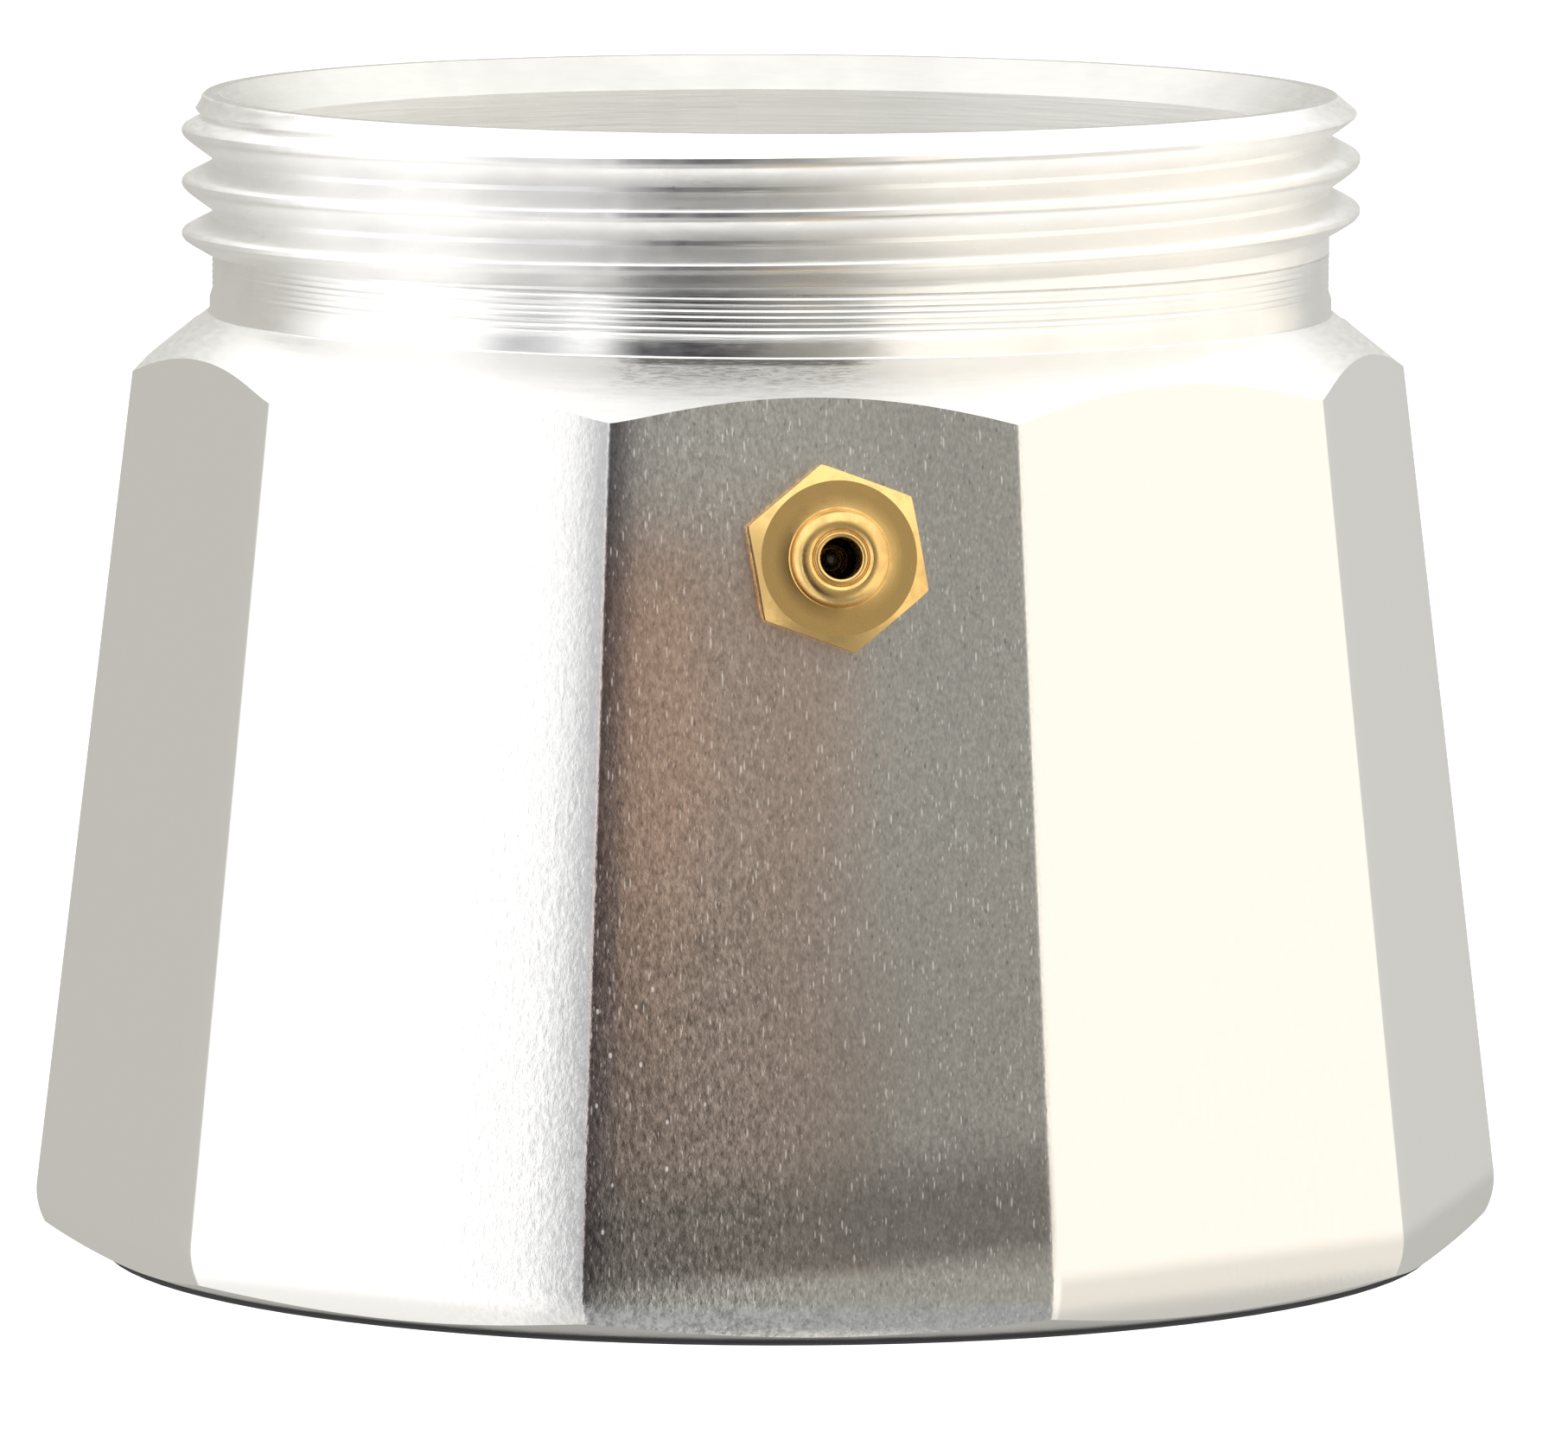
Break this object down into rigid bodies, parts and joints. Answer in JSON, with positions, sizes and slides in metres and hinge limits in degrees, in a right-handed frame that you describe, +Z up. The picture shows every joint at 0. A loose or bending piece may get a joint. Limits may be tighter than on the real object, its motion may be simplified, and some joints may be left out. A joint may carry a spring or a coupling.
{
  "type": "moka pot boiler with safety valve",
  "caption": "Faceted, tapered moka pot boiler with a turned, threaded neck, an open mouth and a brass safety valve screwed into one facet.",
  "frame": {"origin": "centre of the flat foot that the boiler stands on", "axes": "+Z up along the boiler's axis to the rim; -Y towards the facet that carries the safety valve; +X to the right of that facet, through two facet edges"},
  "size_m": [0.0842, 0.0801, 0.0663],
  "materials": {
    "cast_aluminium": "polished cast facets with a fine orange-peel and brush marks, lathe-turned shoulder, neck and mouth",
    "brass": "turned brass, slightly tarnished",
    "fibre": "pressed fibre, matte",
    "ball_steel": "polished stainless ball",
    "spring_steel": "drawn stainless wire"
  },
  "bodies": {
    "boiler": {"boiler_body": "cast_aluminium", "valve_body": "brass", "valve_sealing_washer": "fibre", "valve_seat_bush": "brass", "valve_spring": "spring_steel"},
    "ball": {"valve_ball": "ball_steel"}
  },
  "joints": [
    {"name": "valve_ball_lift", "type": "slide", "parent": "boiler", "child": "ball", "axis": [0, -0.9936, 0.1134], "range_m": [0, 0.001], "stiffness_N_per_m": 600, "springref_m": -0.0019, "deforming": ["valve_spring"]}
  ]
}
